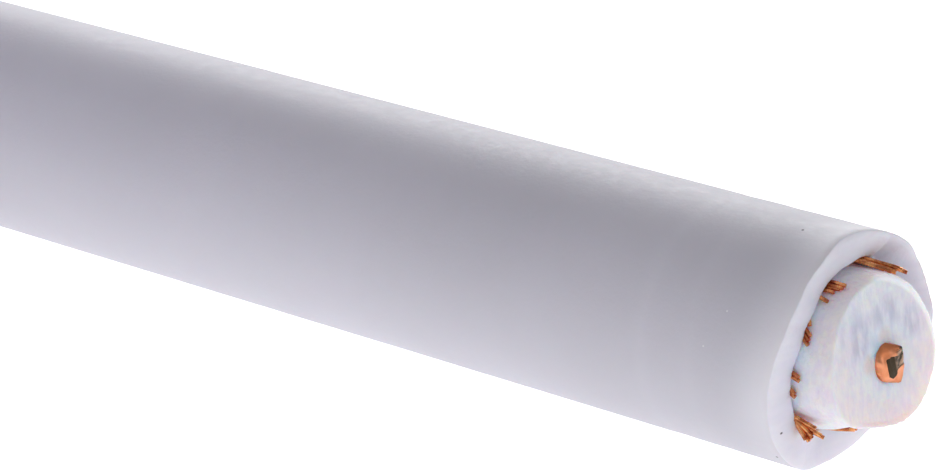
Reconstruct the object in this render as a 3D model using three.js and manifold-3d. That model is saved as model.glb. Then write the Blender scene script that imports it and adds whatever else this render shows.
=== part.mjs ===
// A coil of coaxial cable, its free end cut to show the layers inside.
// Millimetres, +Z up. The coil lies flat, its axis is Z and the floor is z = 0.
// The free end leaves the coil along a tangent and points along +X.
import * as THREE from 'three';
import { mergeVertices } from 'three/addons/utils/BufferGeometryUtils.js';
import Module from 'manifold-3d';

// Cable, from the inside out
const CONDUCTOR_DIAMETER = 1.02;
const DIELECTRIC_DIAMETER = 4.57;
const BRAID_THICKNESS = 0.245;
const JACKET_WALL = 0.87;
const LAYER_CLEARANCE = 0.05; // between one layer of the cable and the next

// Coil
const TURN_CLEARANCE = 0.2; // between neighbouring turns
const INNER_TURN_RADIUS = 48.6; // to the middle of the cable
const LAYERS = 5; // turns side by side, outwards
const ROWS = 5; // turns one on another, upwards

// Free end
const LEAD_LENGTH = 77.2; // straight stretch, from the tangent point to the cut
const DIELECTRIC_STEP = 1.2; // how far the dielectric stands out of the cut jacket
const CONDUCTOR_STEP = 1.35; // how far the conductor stands out of the cut jacket

// Cable ties
const TIE_ANGLES = [105, 225, 345]; // degrees round the coil from +X
const STRAP_WIDTH = 4.8;
const STRAP_THICKNESS = 1.2;
const STRAP_CORNER_RADIUS = 3.6;
const HEAD_LENGTH = 6.4; // along the strap
const HEAD_WIDTH = 7.6;
const HEAD_HEIGHT = 4.8;
const HEAD_CHAMFER = 0.7;
const STUB_HEIGHT = 1.6; // what is left of the trimmed tail
const STUB_OFFSET = 0.9; // from the middle of the head

// Gap between pieces that touch in the real coil
const CONTACT_GAP = 0.3;

// How finely the round shapes are faceted
const COIL_SEGMENTS = 48;
const CABLE_SEGMENTS = 24;
const CONDUCTOR_SEGMENTS = 16;

// Derived sizes
const CONDUCTOR_RADIUS = CONDUCTOR_DIAMETER / 2;
const DIELECTRIC_RADIUS = DIELECTRIC_DIAMETER / 2;
const BRAID_INNER_RADIUS = DIELECTRIC_RADIUS + LAYER_CLEARANCE;
const BRAID_OUTER_RADIUS = BRAID_INNER_RADIUS + BRAID_THICKNESS;
const JACKET_BORE_RADIUS = BRAID_OUTER_RADIUS + LAYER_CLEARANCE;
const JACKET_RADIUS = JACKET_BORE_RADIUS + JACKET_WALL;
const JACKET_DIAMETER = 2 * JACKET_RADIUS;
const TURN_PITCH = JACKET_DIAMETER + TURN_CLEARANCE;
const OUTER_TURN_RADIUS = INNER_TURN_RADIUS + (LAYERS - 1) * TURN_PITCH;
const GROOVE_REACH = JACKET_RADIUS * 0.42; // from the middle of the turns to the groove's bottom
const COIL_OUTER_RADIUS = OUTER_TURN_RADIUS + JACKET_RADIUS;
const COIL_BORE_RADIUS = INNER_TURN_RADIUS - JACKET_RADIUS;
const COIL_BOTTOM = STRAP_THICKNESS + CONTACT_GAP;
const COIL_TOP = COIL_BOTTOM + (ROWS - 1) * TURN_PITCH + JACKET_DIAMETER;
const COIL_CLEARANCE_RADIUS = COIL_OUTER_RADIUS + CONTACT_GAP;
const LEAD_INNER_EDGE = OUTER_TURN_RADIUS - JACKET_RADIUS;
const LAYERS_START = Math.sqrt(COIL_CLEARANCE_RADIUS ** 2 - LEAD_INNER_EDGE ** 2) + CONTACT_GAP;

const wasm = await Module();
wasm.setup();

/** Turn a closed three.js geometry into a manifold solid. */
function toSolid(geometry) {
  const bare = geometry.clone();
  bare.deleteAttribute('normal');
  bare.deleteAttribute('uv');
  const merged = mergeVertices(bare, 1e-4);
  return new wasm.Manifold(new wasm.Mesh({
    numProp: 3,
    vertProperties: new Float32Array(merged.attributes.position.array),
    triVerts: new Uint32Array(merged.index.array),
  }));
}

/** Turn a manifold solid back into a three.js geometry. */
function toGeometry(solid) {
  const mesh = solid.getMesh();
  const geometry = new THREE.BufferGeometry();
  geometry.setAttribute('position', new THREE.BufferAttribute(mesh.vertProperties, 3));
  geometry.setIndex(new THREE.BufferAttribute(mesh.triVerts, 1));
  geometry.computeVertexNormals();
  return geometry;
}

/** A named mesh with its own material. */
function piece(name, geometry, color, roughness, metalness = 0) {
  const material = new THREE.MeshStandardMaterial({ color, roughness, metalness });
  const mesh = new THREE.Mesh(geometry, material);
  mesh.name = name;
  return mesh;
}

/** A point of the section: a place in the winding, moved out from it at an angle. */
function sectionPoint(layer, row, distance, degrees) {
  const angle = THREE.MathUtils.degToRad(degrees);
  return new THREE.Vector2(
    INNER_TURN_RADIUS + layer * TURN_PITCH + distance * Math.cos(angle),
    COIL_BOTTOM + JACKET_RADIUS + row * TURN_PITCH + distance * Math.sin(angle),
  );
}

/** Section of the wound coil: round its four sides, a bulge for each turn and a groove between. */
function coilSection() {
  const lastLayer = LAYERS - 1;
  const lastRow = ROWS - 1;
  const sides = [
    { facing: 0, turns: ROWS, place: (i) => [lastLayer, i] },
    { facing: 90, turns: LAYERS, place: (i) => [lastLayer - i, lastRow] },
    { facing: 180, turns: ROWS, place: (i) => [0, lastRow - i] },
    { facing: 270, turns: LAYERS, place: (i) => [i, 0] },
  ];
  const points = [];
  for (const { facing, turns, place } of sides) {
    for (let i = 0; i < turns; i += 1) {
      if (i > 0) {
        points.push(sectionPoint(...place(i - 0.5), GROOVE_REACH, facing));
        points.push(sectionPoint(...place(i), JACKET_RADIUS, facing - 45));
      }
      points.push(sectionPoint(...place(i), JACKET_RADIUS, facing));
      points.push(sectionPoint(...place(i), JACKET_RADIUS, facing + 45));
    }
  }
  return points;
}

/** The wound coil: one turned solid, with its bore and the turns on all its faces. */
function woundCoil() {
  const section = coilSection();
  const closed = [...section, section[0].clone()];
  const turned = new THREE.LatheGeometry(closed, COIL_SEGMENTS);
  turned.rotateX(Math.PI / 2);
  return turned;
}

/** A bar along the axis of the free end. */
function leadBar(radius, fromX, toX, segments) {
  const bar = new THREE.CylinderGeometry(radius, radius, toX - fromX, segments);
  bar.rotateZ(-Math.PI / 2);
  bar.translate((fromX + toX) / 2, OUTER_TURN_RADIUS, JACKET_RADIUS);
  return bar;
}

/** A sleeve along the axis of the free end. */
function leadSleeve(outerRadius, innerRadius, fromX, toX, segments) {
  const outer = toSolid(leadBar(outerRadius, fromX, toX, segments));
  const inner = toSolid(leadBar(innerRadius, fromX - 1, toX + 1, segments));
  return outer.subtract(inner);
}

/** The jacket of the free end, shaped to lie against the coil that it leaves. */
function leadJacket() {
  const startX = LEAD_LENGTH / 5;
  const boreX = LAYERS_START - CONTACT_GAP;
  const body = toSolid(leadBar(JACKET_RADIUS, startX, LEAD_LENGTH, CABLE_SEGMENTS));
  const bore = toSolid(leadBar(JACKET_BORE_RADIUS, boreX, LEAD_LENGTH + 1, CABLE_SEGMENTS));
  const round = new THREE.CylinderGeometry(
    COIL_CLEARANCE_RADIUS, COIL_CLEARANCE_RADIUS, 4 * JACKET_DIAMETER, 2 * COIL_SEGMENTS,
  );
  round.rotateX(Math.PI / 2);
  return toGeometry(body.subtract(bore).subtract(toSolid(round)));
}

/** A rounded rectangle between two corners, drawn on a shape or a hole in one. */
function roundedRectangle(path, left, bottom, right, top, radius) {
  path.moveTo(left + radius, bottom);
  path.lineTo(right - radius, bottom);
  path.absarc(right - radius, bottom + radius, radius, -Math.PI / 2, 0);
  path.lineTo(right, top - radius);
  path.absarc(right - radius, top - radius, radius, 0, Math.PI / 2);
  path.lineTo(left + radius, top);
  path.absarc(left + radius, top - radius, radius, Math.PI / 2, Math.PI);
  path.lineTo(left, bottom + radius);
  path.absarc(left + radius, bottom + radius, radius, Math.PI, 1.5 * Math.PI);
  return path;
}

/** Extrude a radial section evenly to both sides of the XZ plane. */
function acrossStrap(shape, width) {
  const body = new THREE.ExtrudeGeometry(shape, { depth: width, bevelEnabled: false, curveSegments: 4 });
  body.rotateX(Math.PI / 2);
  body.translate(0, width / 2, 0);
  return body;
}

/** One closed cable tie: strap, head and the stub of its tail. */
function cableTie(degrees) {
  const left = COIL_BORE_RADIUS - CONTACT_GAP;
  const right = COIL_OUTER_RADIUS + CONTACT_GAP;
  const bottom = COIL_BOTTOM - CONTACT_GAP;
  const top = COIL_TOP + CONTACT_GAP;
  const grown = STRAP_THICKNESS;
  const loop = roundedRectangle(
    new THREE.Shape(), left - grown, bottom - grown, right + grown, top + grown, STRAP_CORNER_RADIUS,
  );
  const opening = new THREE.Path();
  roundedRectangle(opening, left, bottom, right, top, STRAP_CORNER_RADIUS - grown);
  loop.holes.push(opening);

  const middle = (COIL_BORE_RADIUS + COIL_OUTER_RADIUS) / 2;
  const halfHead = HEAD_LENGTH / 2;
  const headTop = top + HEAD_HEIGHT;
  const head = new THREE.Shape();
  head.moveTo(middle - halfHead, top);
  head.lineTo(middle + halfHead, top);
  head.lineTo(middle + halfHead, headTop - HEAD_CHAMFER);
  head.lineTo(middle + halfHead - HEAD_CHAMFER, headTop);
  head.lineTo(middle - halfHead + HEAD_CHAMFER, headTop);
  head.lineTo(middle - halfHead, headTop - HEAD_CHAMFER);
  head.closePath();

  const stub = new THREE.BoxGeometry(STRAP_THICKNESS, STRAP_WIDTH, STUB_HEIGHT + 1);
  stub.translate(middle + STUB_OFFSET, 0, headTop + STUB_HEIGHT - (STUB_HEIGHT + 1) / 2);

  const solid = toSolid(acrossStrap(loop, STRAP_WIDTH))
    .add(toSolid(acrossStrap(head, HEAD_WIDTH)))
    .add(toSolid(stub));
  const tie = toGeometry(solid);
  tie.rotateZ(THREE.MathUtils.degToRad(degrees));
  return tie;
}

const cable = new THREE.Group();
cable.name = 'coaxial_cable_coil';

cable.add(piece('coil', woundCoil(), 0xe4e3e9, 0.5));
cable.add(piece('lead_jacket', leadJacket(), 0xe4e3e9, 0.5));

const braid = leadSleeve(
  BRAID_OUTER_RADIUS, BRAID_INNER_RADIUS, LAYERS_START, LEAD_LENGTH, CABLE_SEGMENTS,
);
cable.add(piece('braid', toGeometry(braid), 0xb87a50, 0.35, 1));

const dielectric = leadSleeve(
  DIELECTRIC_RADIUS, CONDUCTOR_RADIUS + LAYER_CLEARANCE,
  LAYERS_START, LEAD_LENGTH + DIELECTRIC_STEP, CABLE_SEGMENTS,
);
cable.add(piece('dielectric', toGeometry(dielectric), 0xeef0f4, 0.4));

const conductor = leadBar(
  CONDUCTOR_RADIUS, LAYERS_START, LEAD_LENGTH + CONDUCTOR_STEP, CONDUCTOR_SEGMENTS,
);
cable.add(piece('centre_conductor', conductor, 0xb87333, 0.35, 1));

TIE_ANGLES.forEach((degrees, index) => {
  cable.add(piece(`tie_${index + 1}`, cableTie(degrees), 0xe9e7dd, 0.45));
});

export default cable;
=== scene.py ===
"""Dresses the coaxial cable coil: jacket, braid strands, dielectric, core, ties and studio.

Everything is in metres in the model's own frame: the coil's axis is Z, the floor is z = 0 and the
free end points along +X.
"""

from __future__ import annotations

import logging
import math
import random
from collections.abc import Callable, Sequence
from dataclasses import dataclass, field
from enum import Enum

import bmesh
import bpy
from mathutils import Matrix, Vector, noise

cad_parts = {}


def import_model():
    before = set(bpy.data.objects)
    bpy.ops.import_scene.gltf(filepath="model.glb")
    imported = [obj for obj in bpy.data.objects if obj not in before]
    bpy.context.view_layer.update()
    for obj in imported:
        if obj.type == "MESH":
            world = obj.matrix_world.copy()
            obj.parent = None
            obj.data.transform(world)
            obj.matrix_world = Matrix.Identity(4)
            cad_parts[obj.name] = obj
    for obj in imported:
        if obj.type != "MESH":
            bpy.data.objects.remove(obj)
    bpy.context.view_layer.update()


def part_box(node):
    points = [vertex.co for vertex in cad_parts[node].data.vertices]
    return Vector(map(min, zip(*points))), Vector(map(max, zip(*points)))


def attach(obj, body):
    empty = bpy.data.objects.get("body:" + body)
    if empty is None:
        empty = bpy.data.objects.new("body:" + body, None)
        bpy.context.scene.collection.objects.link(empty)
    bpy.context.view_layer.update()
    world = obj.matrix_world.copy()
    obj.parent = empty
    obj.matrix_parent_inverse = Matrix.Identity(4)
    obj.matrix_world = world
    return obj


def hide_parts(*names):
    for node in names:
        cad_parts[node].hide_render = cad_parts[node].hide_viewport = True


log = logging.getLogger("cable_coil")

MM = 0.001
BODY = "root"
PICTURE = (943, 475)


class Slot(Enum):
    """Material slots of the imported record."""

    JACKET = "jacket"
    DIELECTRIC = "dielectric"
    COPPER = "copper"
    TIE = "tie"


class Sense(Enum):
    """Which way the wires of a braid turn as they run out to the cut."""

    LEFT = -1
    RIGHT = 1


# Small tools


def placed(name: str, mesh: bpy.types.Mesh, finishes: Sequence[bpy.types.Material]) -> bpy.types.Object:
    """Put a finished mesh in the scene with its materials.

    Args:
        name: Name of the new piece.
        mesh: Its mesh, already in place.
        finishes: One material for each material index that the mesh uses.

    Returns:
        The new object, at the origin.
    """
    mesh.name = name
    for finish in finishes:
        mesh.materials.append(finish)
    piece = bpy.data.objects.new(name, mesh)
    bpy.context.scene.collection.objects.link(piece)
    return piece


def mesh_of(shape: bmesh.types.BMesh, smooth: bool = True) -> bpy.types.Mesh:
    """Turn a bmesh into a mesh and free it.

    Args:
        shape: The modelled shape.
        smooth: Whether its faces are shaded smooth.

    Returns:
        The new mesh.
    """
    mesh = bpy.data.meshes.new("shape")
    for face in shape.faces:
        face.smooth = smooth
    shape.to_mesh(mesh)
    shape.free()
    return mesh


def swept_tubes(lines: Sequence[Sequence[Vector]], radius: float, sides: int, capped: bool) -> bpy.types.Mesh:
    """Sweep a round section along each of several lines.

    Args:
        lines: The centre lines, each a list of points.
        radius: Radius of the section.
        sides: Number of sides of the section, an even number.
        capped: Whether the ends are closed.

    Returns:
        One mesh that holds all the tubes.
    """
    curve = bpy.data.curves.new("sweep", "CURVE")
    curve.dimensions = "3D"
    curve.twist_mode = "Z_UP"
    curve.bevel_depth = radius
    curve.bevel_resolution = (sides - 4) // 2
    curve.use_fill_caps = capped
    for line in lines:
        spline = curve.splines.new("POLY")
        spline.points.add(len(line) - 1)
        for knot, point in zip(spline.points, line):
            knot.co = (*point, 1.0)
    carrier = bpy.data.objects.new("sweep", curve)
    mesh = bpy.data.meshes.new_from_object(carrier)
    bpy.data.objects.remove(carrier)
    bpy.data.curves.remove(curve)
    return mesh


def blend_between(low: float, high: float, value: float) -> float:
    """How far value has gone from low to high, eased at both ends, from 0 to 1."""
    share = min(max((value - low) / (high - low), 0.0), 1.0)
    return share * share * (3 - 2 * share)


def bezier(start: Vector, bend: Vector, end: Vector, count: int) -> list[Vector]:
    """Points on a quadratic curve.

    Args:
        start: First point.
        bend: Control point.
        end: Last point.
        count: Number of points, both ends included.

    Returns:
        The points in order.
    """
    points = []
    for index in range(count):
        t = index / (count - 1)
        points.append(start * (1 - t) ** 2 + bend * (2 * t * (1 - t)) + end * t**2)
    return points


@dataclass(frozen=True)
class ClockProfile:
    """A value that changes round a circle, given at even clock positions from 12 o'clock on."""

    values: tuple[float, ...]

    @staticmethod
    def of_mm(*values: float) -> ClockProfile:
        """A profile of lengths that are given in millimetres."""
        return ClockProfile(tuple(value * MM for value in values))

    def at(self, clock: float) -> float:
        """Value at a clock angle in degrees, on a smooth closed curve through the given ones."""
        count = len(self.values)
        place = (clock % 360.0) / 360.0 * count
        index = int(place)
        t = place - index
        before, here, ahead, beyond = (self.values[(index + k) % count] for k in (-1, 0, 1, 2))
        slope_here = (ahead - before) / 2
        slope_ahead = (beyond - here) / 2
        return (
            here * (2 * t**3 - 3 * t**2 + 1)
            + slope_here * (t**3 - 2 * t**2 + t)
            + ahead * (3 * t**2 - 2 * t**3)
            + slope_ahead * (t**3 - t**2)
        )


@dataclass(frozen=True)
class EndFrame:
    """Axes at a cut end: local X out along the cable, local Z up, 12 o'clock at local +Z."""

    matrix: Matrix

    @staticmethod
    def at(centre: Vector, outward: Vector) -> EndFrame:
        """Make the frame at a cut's centre, facing outward along the cable."""
        x_axis = outward.normalized()
        y_axis = Vector((0, 0, 1)).cross(x_axis).normalized()
        z_axis = x_axis.cross(y_axis)
        matrix = Matrix((x_axis, y_axis, z_axis)).transposed().to_4x4()
        matrix.translation = centre
        return EndFrame(matrix)

    def point(self, reach: float, radius: float, clock: float) -> Vector:
        """Point in the model's frame at a reach beyond the cut, a radius and a clock angle."""
        angle = math.radians(clock)
        return self.matrix @ Vector((reach, radius * math.sin(angle), radius * math.cos(angle)))

    def local(self, point: Vector) -> Vector:
        """Point in the end's own axes."""
        return self.matrix.inverted() @ point

    def clock(self, point: Vector) -> float:
        """Clock angle of a point, in degrees."""
        own = self.local(point)
        return math.degrees(math.atan2(own.y, own.z)) % 360.0


def open_rings(shape: bmesh.types.BMesh) -> list[list[bmesh.types.BMEdge]]:
    """The open rings of edges of a shape, each as a list."""
    left = {e for e in shape.edges if e.is_boundary}
    rings = []
    while left:
        waiting = [left.pop()]
        ring = list(waiting)
        while waiting:
            edge = waiting.pop()
            for near in {e for v in edge.verts for e in v.link_edges} & left:
                left.remove(near)
                ring.append(near)
                waiting.append(near)
        rings.append(ring)
    return rings


def ring_near(shape: bmesh.types.BMesh, point: Vector, sides: int | None = None) -> list[bmesh.types.BMEdge]:
    """The open ring of edges whose middle is nearest to a point.

    Args:
        shape: The shape being modelled.
        point: Where the ring is.
        sides: Its number of edges, if that has to be told from another ring's.

    Returns:
        Its edges.
    """
    rings = [ring for ring in open_rings(shape) if sides in (None, len(ring))]

    def off(ring: Sequence[bmesh.types.BMEdge]) -> float:
        """Distance from the ring's middle to the point."""
        points = [v.co for e in ring for v in e.verts]
        return (sum(points, Vector()) / len(points) - point).length

    return min(rings, key=off)


def next_ring(
    shape: bmesh.types.BMesh, ring: Sequence[bmesh.types.BMEdge], place: Callable[[Vector], Vector], finish: int = 0
) -> list[bmesh.types.BMEdge]:
    """Extrude an open ring of edges and move the new ring to its place.

    Args:
        shape: The shape being modelled.
        ring: Edges of the open ring.
        place: Gives a new point's place from the place it is extruded from.
        finish: Material index of the new faces.

    Returns:
        Edges of the new ring.
    """
    made = bmesh.ops.extrude_edge_only(shape, edges=list(ring))["geom"]
    for vert in (g for g in made if isinstance(g, bmesh.types.BMVert)):
        vert.co = place(vert.co.copy())
    for face in (g for g in made if isinstance(g, bmesh.types.BMFace)):
        face.material_index = finish
    return [g for g in made if isinstance(g, bmesh.types.BMEdge)]


# Sizes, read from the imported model


@dataclass(frozen=True)
class CableSizes:
    """Sizes of the cable and of its coil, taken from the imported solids."""

    jacket_radius: float
    jacket_bore: float
    dielectric_radius: float
    core_radius: float
    wire_radius: float
    inner_start: float
    cut: Vector
    coil_radius: float
    coil_bottom: float
    coil_top: float

    @staticmethod
    def read() -> CableSizes:
        """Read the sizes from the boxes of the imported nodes."""
        lead_low, lead_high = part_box("lead_jacket")
        braid_low, braid_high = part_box("braid")
        dielectric_low, dielectric_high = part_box("dielectric")
        core_low, core_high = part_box("centre_conductor")
        coil_low, coil_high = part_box("coil")
        radius = (lead_high.z - lead_low.z) / 2
        return CableSizes(
            jacket_radius=radius,
            jacket_bore=(braid_high.z - braid_low.z) / 2 + 0.05 * MM,
            dielectric_radius=(dielectric_high.z - dielectric_low.z) / 2,
            core_radius=(core_high.z - core_low.z) / 2,
            wire_radius=0.06 * MM,
            inner_start=braid_low.x,
            cut=Vector((lead_high.x, lead_high.y - radius, lead_low.z + radius)),
            coil_radius=coil_high.x,
            coil_bottom=coil_low.z,
            coil_top=coil_high.z,
        )


# The winding


@dataclass
class Winding:
    """The cable's route: layers of level turns, each joined to the next by a short crossover."""

    sizes: CableSizes
    layers: int = 5
    rows: int = 5
    crossover: float = 48 * MM
    stagger: float = 15.4 * MM
    last_crossover: float = 48.0
    inner_end: float = 234.0
    turn_points: int = 96
    looseness: float = 0.07 * MM

    def pitch(self) -> float:
        """Distance from one turn to the next, up or outwards."""
        height = self.sizes.coil_top - self.sizes.coil_bottom
        return (height - 2 * self.sizes.jacket_radius) / (self.rows - 1)

    def inner_radius(self) -> float:
        """Radius of the innermost turns' centre line."""
        return self.sizes.coil_radius - self.sizes.jacket_radius - (self.layers - 1) * self.pitch()

    def places(self) -> list[tuple[int, int]]:
        """Layer and row of each turn, in the order in which they are wound."""
        order = []
        for layer in range(self.layers):
            rows = range(self.rows) if layer % 2 else reversed(range(self.rows))
            order.extend((layer, row) for row in rows)
        return order

    def crossovers(self) -> list[float]:
        """Degrees travelled from the inner end to the middle of each crossover."""
        order = self.places()
        angle = self.last_crossover
        angles = [angle]
        for index in range(len(order) - 3, -1, -1):
            layers = {order[index][0], order[index + 1][0], order[index + 2][0]}
            if len(layers) > 1:
                radius = self.inner_radius() + self.pitch() * max(order[index][0], order[index + 1][0])
                angle -= math.degrees(self.stagger / radius)
            angles.insert(0, angle)
        return [(self.inner_end - a) % 360.0 + 360.0 * turn for turn, a in enumerate(angles)]

    def level_at(self, travelled: float, crossovers: Sequence[float]) -> tuple[float, float]:
        """Radius and height of the centre line.

        Args:
            travelled: Degrees travelled from the inner end.
            crossovers: Degrees travelled to the middle of each crossover.

        Returns:
            The radius and the height there.
        """
        order = self.places()
        pitch = self.pitch()
        radius = self.inner_radius() + pitch * order[0][0]
        height = self.sizes.coil_bottom + self.sizes.jacket_radius + pitch * order[0][1]
        for (layer, row), (next_layer, next_row), middle in zip(order, order[1:], crossovers):
            mean_radius = self.inner_radius() + pitch * (layer + next_layer) / 2
            half = math.degrees(self.crossover / 2 / mean_radius)
            share = min(max((travelled - middle + half) / (2 * half), 0.0), 1.0)
            if share <= 0.0:
                break
            moved = (1 - math.cos(math.pi * share)) / 2
            radius += pitch * (next_layer - layer) * moved
            height += pitch * (next_row - row) * moved
        return radius, height

    def coil_line(self) -> list[Vector]:
        """Points of the wound turns, from the inner end to where the free end leaves."""
        crossovers = self.crossovers()
        total = (self.inner_end - 90.0) % 360.0 + 360.0 * (self.layers * self.rows - 1)
        count = round(total / 360.0 * self.turn_points)
        line = []
        for index in range(count + 1):
            travelled = total * index / count
            radius, height = self.level_at(travelled, crossovers)
            angle = math.radians(self.inner_end - travelled)
            at = Vector((radius * math.cos(angle), radius * math.sin(angle), height))
            ease = blend_between(0, 25, travelled) * blend_between(0, 25, total - travelled)
            drift = noise.noise_vector(at * 18) * self.looseness * ease
            line.append(at + Vector((drift.x, drift.y, drift.z)))
        return line

    def lead_line(self, step: float = 0.5 * MM) -> list[Vector]:
        """Points of the free end, from the coil to 8 mm short of the cut."""
        start_height = self.sizes.coil_bottom + self.sizes.jacket_radius
        settled = self.sizes.inner_start
        stop = self.sizes.cut.x - 8 * MM
        count = round(stop / step)
        line = []
        for index in range(1, count + 1):
            x = stop * index / count
            height = start_height + (self.sizes.cut.z - start_height) * blend_between(0, settled, x)
            line.append(Vector((x, self.sizes.cut.y, height)))
        return line


# The cut ends


@dataclass(frozen=True)
class CutShape:
    """How a cable end is cut. Lengths in metres; each profile starts at 12 o'clock.

    The rims are how far the jacket's outer and inner edges reach beyond the cut's plane, the mouth is
    the radius of the inner edge, the lip is how far the outer edge is rounded, and the shade is the
    painted shade that darkens the cut face towards its inner edge. The swell and the nip are the shares
    by which the dielectric is thicker at the cut and thinner at its face, whose edge the soft edge rounds.
    """

    outer_rim: ClockProfile
    inner_rim: ClockProfile
    mouth: ClockProfile
    lip: ClockProfile
    shade: ClockProfile
    depth: float
    face: float
    face_tilt: float
    swell: ClockProfile
    nip: ClockProfile
    soft_edge: ClockProfile
    core_reach: float
    crease: float | None = None
    roughness: float = 0.05 * MM

    @staticmethod
    def free_end(depth: float) -> CutShape:
        """The end in the picture: sliced in two strokes that left a crease, and torn at the bottom."""
        return CutShape(
            outer_rim=ClockProfile.of_mm(-0.03, 0.3, 0.13, 0.12, -0.33, -0.76, -0.93, -0.52, -0.36, -0.13, 0.2, 0.16),
            inner_rim=ClockProfile.of_mm(-0.04, -0.4, -0.55, -0.5, -0.7, -0.95, -1.0, -0.52, -0.3, -0.14, 0.05, 0.0),
            mouth=ClockProfile.of_mm(
                2.62, 2.67, 2.7, 2.68, 2.62, 2.6, 2.58, 2.54, 2.5, 2.46, 2.44, 2.44,
                2.44, 2.46, 2.52, 2.57, 2.46, 2.46, 2.46, 2.39, 2.48, 2.44, 2.57, 2.61,
            ),
            lip=ClockProfile.of_mm(0.08, 0.14, 0.2, 0.2, 0.12, 0.06, 0.05, 0.05, 0.06, 0.07, 0.07, 0.07),
            # How much painted shade darkens the cut face towards its inner edge, round the clock.
            shade=ClockProfile((0.3, 0.58, 0.5, 0.48, 0.4, 0.2, 0.2, 0.2, 0.1, 0.06, 0.02, 0.03)),
            depth=depth,
            face=1.18 * MM,
            face_tilt=-0.15,
            swell=ClockProfile((0.055, 0.05, 0.045, 0.035, 0.0, 0.0, 0.0, 0.0, 0.03, 0.04, 0.045, 0.05)),
            nip=ClockProfile((0.0, 0.0, 0.0, 0.0, 0.065, 0.16, 0.235, 0.2, 0.01, 0.0, 0.0, 0.0)),
            soft_edge=ClockProfile.of_mm(0.12, 0.24, 0.27, 0.2, 0.08, 0.05, 0.05, 0.05, 0.06, 0.08, 0.08, 0.08),
            core_reach=1.42 * MM,
            crease=22.0,
        )

    @staticmethod
    def inner_end(depth: float) -> CutShape:
        """The end inside the coil: one clean cut through everything."""
        return CutShape(
            outer_rim=ClockProfile.of_mm(0.0, 0.04, 0.1, 0.02),
            inner_rim=ClockProfile.of_mm(0.0, 0.02, 0.06, 0.0),
            mouth=ClockProfile.of_mm(2.6, 2.58, 2.6, 2.57),
            lip=ClockProfile.of_mm(0.07, 0.06, 0.07, 0.08),
            # Painted shade on the cut face towards its inner edge.
            shade=ClockProfile((0.2, 0.2, 0.2, 0.2)),
            depth=depth,
            face=0.3 * MM,
            face_tilt=0.05,
            swell=ClockProfile((0.0, 0.0, 0.01, 0.02)),
            nip=ClockProfile((0.0, 0.01, 0.03, 0.0)),
            soft_edge=ClockProfile.of_mm(0.06, 0.06, 0.06, 0.06),
            core_reach=0.4 * MM,
        )


@dataclass(frozen=True)
class Tuft:
    """A few braid wires that stick out of the cut together, in millimetres and degrees.

    The root is where the middle wire leaves the cut and the tip is where it ends, each as its clock
    angle, its reach beyond the cut's plane and its radius.
    """

    root: tuple[float, float, float]
    tip: tuple[float, float, float]
    wires: int = 1
    fan: float = 0.0
    uneven: float = 0.08

    def lines(self, end: EndFrame, lay_radius: float, wire_radius: float, seed: int) -> list[list[Vector]]:
        """Centre lines of the wires.

        Args:
            end: Frame of the cut end.
            lay_radius: Radius at which the braid lies in the cable.
            wire_radius: Radius of one wire.
            seed: Seed of the unevenness.

        Returns:
            One list of points for each wire.
        """
        chance = random.Random(seed)
        clock, reach, radius = self.root
        tip_clock, tip_reach, tip_radius = self.tip
        pitch = math.degrees(2.05 * wire_radius / (radius * MM))
        lean = tip_clock - clock
        lines = []
        for index in range(self.wires):
            side = index - (self.wires - 1) / 2
            root_clock = clock + side * pitch
            lift = chance.uniform(-0.02, 0.02)
            last_clock = tip_clock + side * (pitch + self.fan) + chance.uniform(-0.8, 0.8)
            last_reach = tip_reach - self.uneven * chance.random() * 2
            deep = end.point((reach - 1.6) * MM, lay_radius, root_clock - lean)
            mouth = end.point(reach * MM, radius * MM, root_clock)
            last = end.point(last_reach * MM, (tip_radius + lift) * MM, last_clock)
            bend = end.point(
                (reach + (last_reach - reach) * 0.4) * MM,
                (radius + (tip_radius - radius) * 0.25 + lift) * MM,
                root_clock + lean * 0.3,
            )
            inside = [deep.lerp(mouth, share / 4) for share in range(4)]
            lines.append(inside + bezier(mouth, bend, last, 9))
        return lines


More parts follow.
